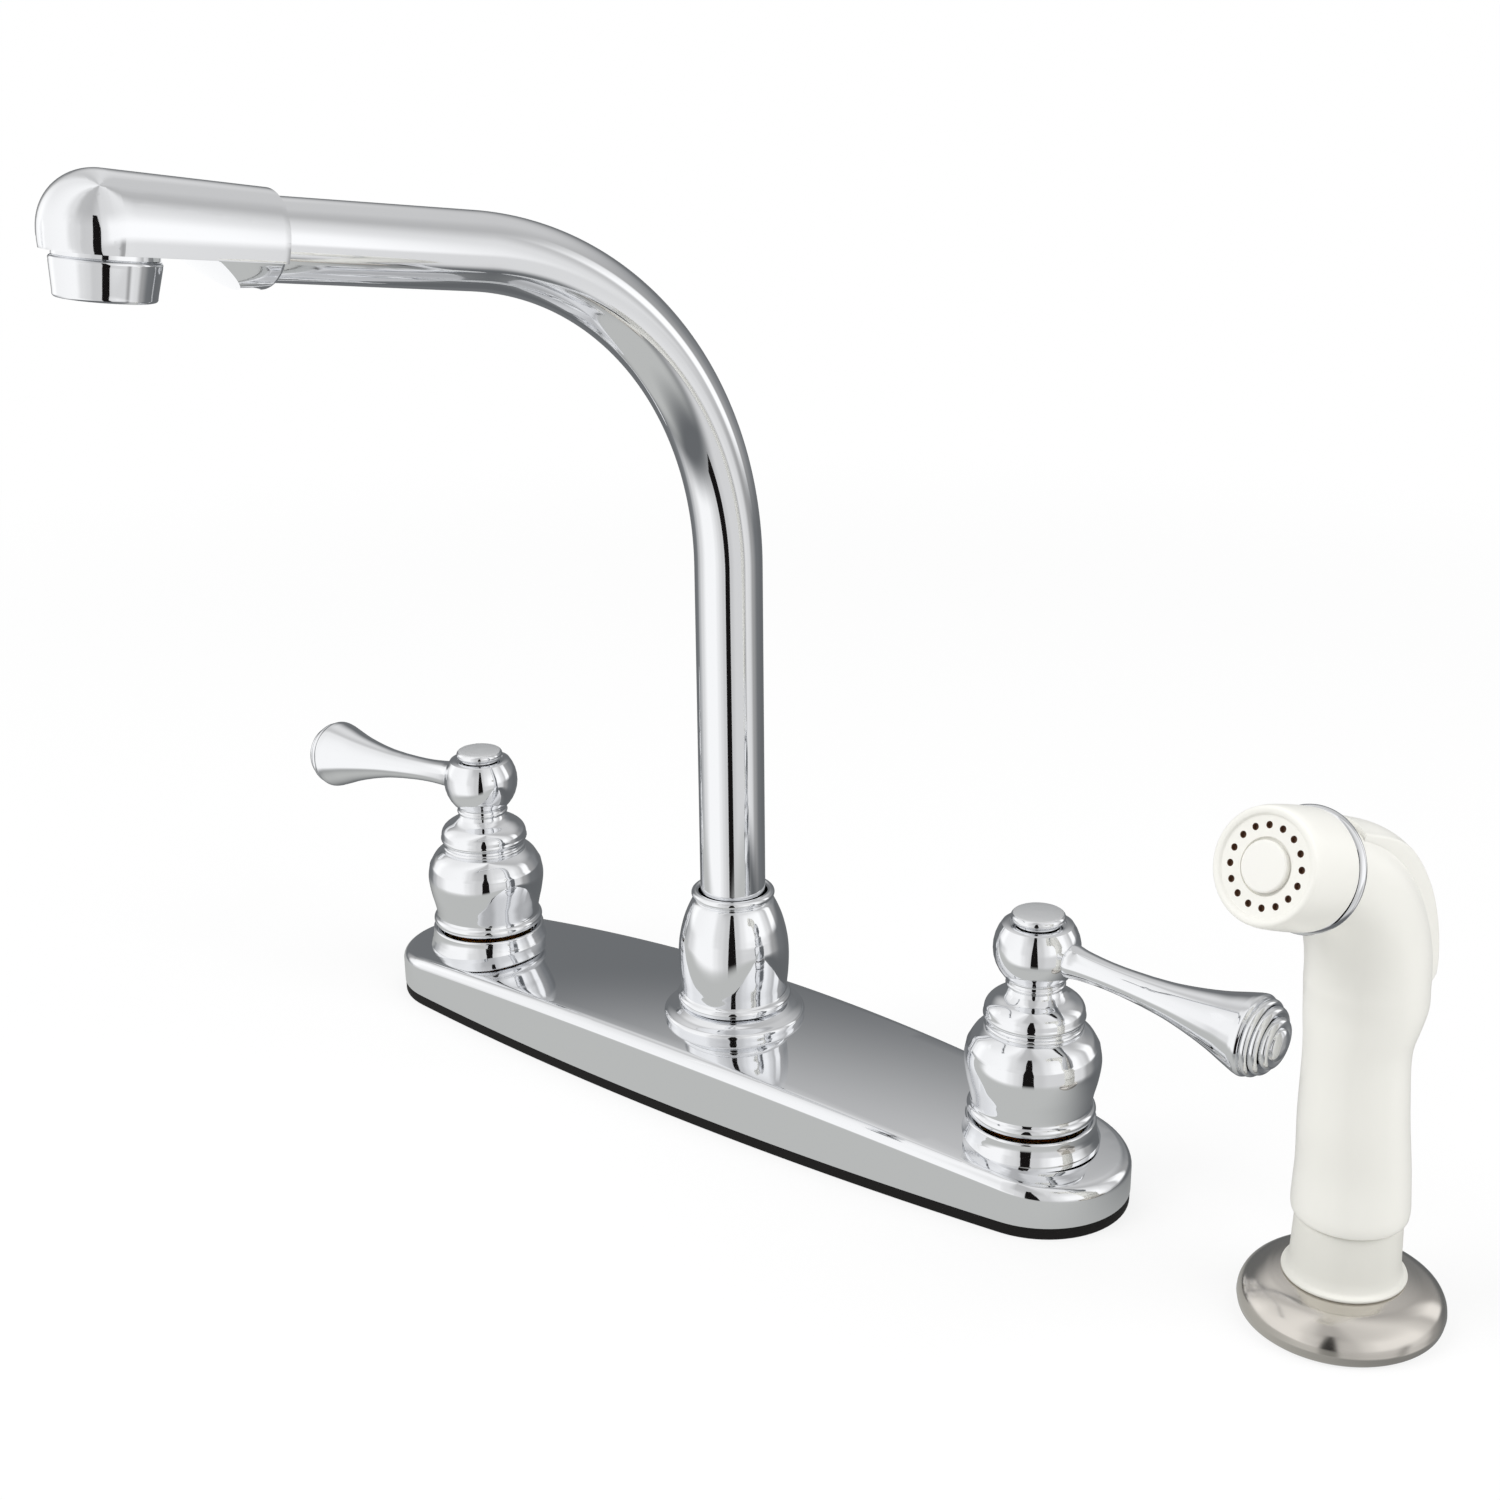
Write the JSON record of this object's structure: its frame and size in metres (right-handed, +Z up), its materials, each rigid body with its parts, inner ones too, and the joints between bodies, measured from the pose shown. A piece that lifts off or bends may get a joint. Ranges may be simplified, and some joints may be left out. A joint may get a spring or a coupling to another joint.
{
  "type": "side spray kitchen faucet",
  "caption": "Deck-mounted kitchen faucet with turning lever handles, a high swivel spout and a separate pull-up side spray.",
  "frame": {"origin": "on the sink deck under the spout's axis", "axes": "+Z up, +X along the deck plate towards the side spray, -Y towards the user"},
  "size_m": [0.3907, 0.2099, 0.32],
  "materials": {
    "chrome": "polished",
    "satin_chrome": "satin",
    "brass": "as machined",
    "steel": "plain",
    "rubber": "matte",
    "ceramic": "fine ground",
    "white_plastic": "smooth",
    "grey_plastic": "moulded"
  },
  "bodies": {
    "base": {"base_gasket": "rubber", "deck_plate": "chrome", "spout_post": "brass", "hot_crossover": "brass", "cold_crossover": "brass", "diverter_body": "grey_plastic", "lower_o_ring": "rubber", "upper_o_ring": "rubber", "spout_flange": "chrome", "spout_bonnet": "chrome", "spray_flange": "satin_chrome", "spray_guide": "white_plastic", "spray_guide_nut": "grey_plastic", "hot_valve_body": "brass", "hot_seat_washer": "rubber", "hot_fixed_disc": "ceramic", "hot_cartridge": "grey_plastic", "hot_bonnet_nut": "brass", "hot_lock_nut": "brass", "hot_lock_washer": "steel", "hot_base_ring": "chrome", "cold_valve_body": "brass", "cold_seat_washer": "rubber", "cold_fixed_disc": "ceramic", "cold_cartridge": "grey_plastic", "cold_bonnet_nut": "brass", "cold_lock_nut": "brass", "cold_lock_washer": "steel", "cold_base_ring": "chrome"},
    "hot_handle_set": {"hot_handle": "chrome", "hot_lever": "chrome", "hot_index_button": "chrome", "hot_handle_screw": "steel", "hot_stem": "brass", "hot_moving_disc": "ceramic"},
    "cold_handle_set": {"cold_handle": "chrome", "cold_lever": "chrome", "cold_index_button": "chrome", "cold_handle_screw": "steel", "cold_stem": "brass", "cold_moving_disc": "ceramic"},
    "spout": {"spout_tube": "chrome", "spout_collet": "brass", "spout_head": "chrome", "aerator_housing": "chrome", "aerator_insert": "grey_plastic", "aerator_washer": "rubber"},
    "diverter": {"diverter_piston": "grey_plastic"},
    "hose_end": {"spray_coupling": "brass"},
    "handset": {"spray_body": "white_plastic", "trigger_pin": "steel", "spray_spring": "steel", "spray_trim_ring": "chrome", "spray_nozzle": "white_plastic", "spray_nozzle_core": "white_plastic"},
    "thumb_trigger": {"spray_trigger": "white_plastic"},
    "valve_plunger": {"spray_plunger": "brass"}
  },
  "joints": [
    {"name": "hot_turn", "type": "hinge", "parent": "base", "child": "hot_handle_set", "pos_m": [-0.1016, 0, 0.0706], "axis": [0, 0, 1], "range_deg": [0, 90]},
    {"name": "cold_turn", "type": "hinge", "parent": "base", "child": "cold_handle_set", "pos_m": [0.1016, 0, 0.0706], "axis": [0, 0, -1], "range_deg": [0, 90]},
    {"name": "spout_swivel", "type": "hinge", "parent": "base", "child": "spout", "pos_m": [0, 0, 0.042], "axis": [0, 0, 1], "continuous": true},
    {"name": "diverter_lift", "type": "slide", "parent": "base", "child": "diverter", "axis": [0, 0, 1], "range_m": [0, 0.0024]},
    {"name": "spray_lift", "type": "slide", "parent": "base", "child": "hose_end", "axis": [0, 0, 1], "range_m": [0, 0.12]},
    {"name": "handset_swivel", "type": "hinge", "parent": "hose_end", "child": "handset", "pos_m": [0.1928, -0.0031, 0.036], "axis": [0, 0, 1], "continuous": true},
    {"name": "trigger_press", "type": "hinge", "parent": "handset", "child": "thumb_trigger", "pos_m": [0.18986, -0.01898, 0.12836], "axis": [-0.9833, 0.1822, 0], "range_deg": [0, 3], "stiffness_Nm_per_rad": 4},
    {"name": "plunger_press", "type": "slide", "parent": "handset", "child": "valve_plunger", "axis": [0, 0, -1], "range_m": [0, 0.0009], "deforming": ["spray_spring"]}
  ],
  "couplings": [
    {"joint": "plunger_press", "follows": "trigger_press", "m_per_rad": 0.01615}
  ]
}
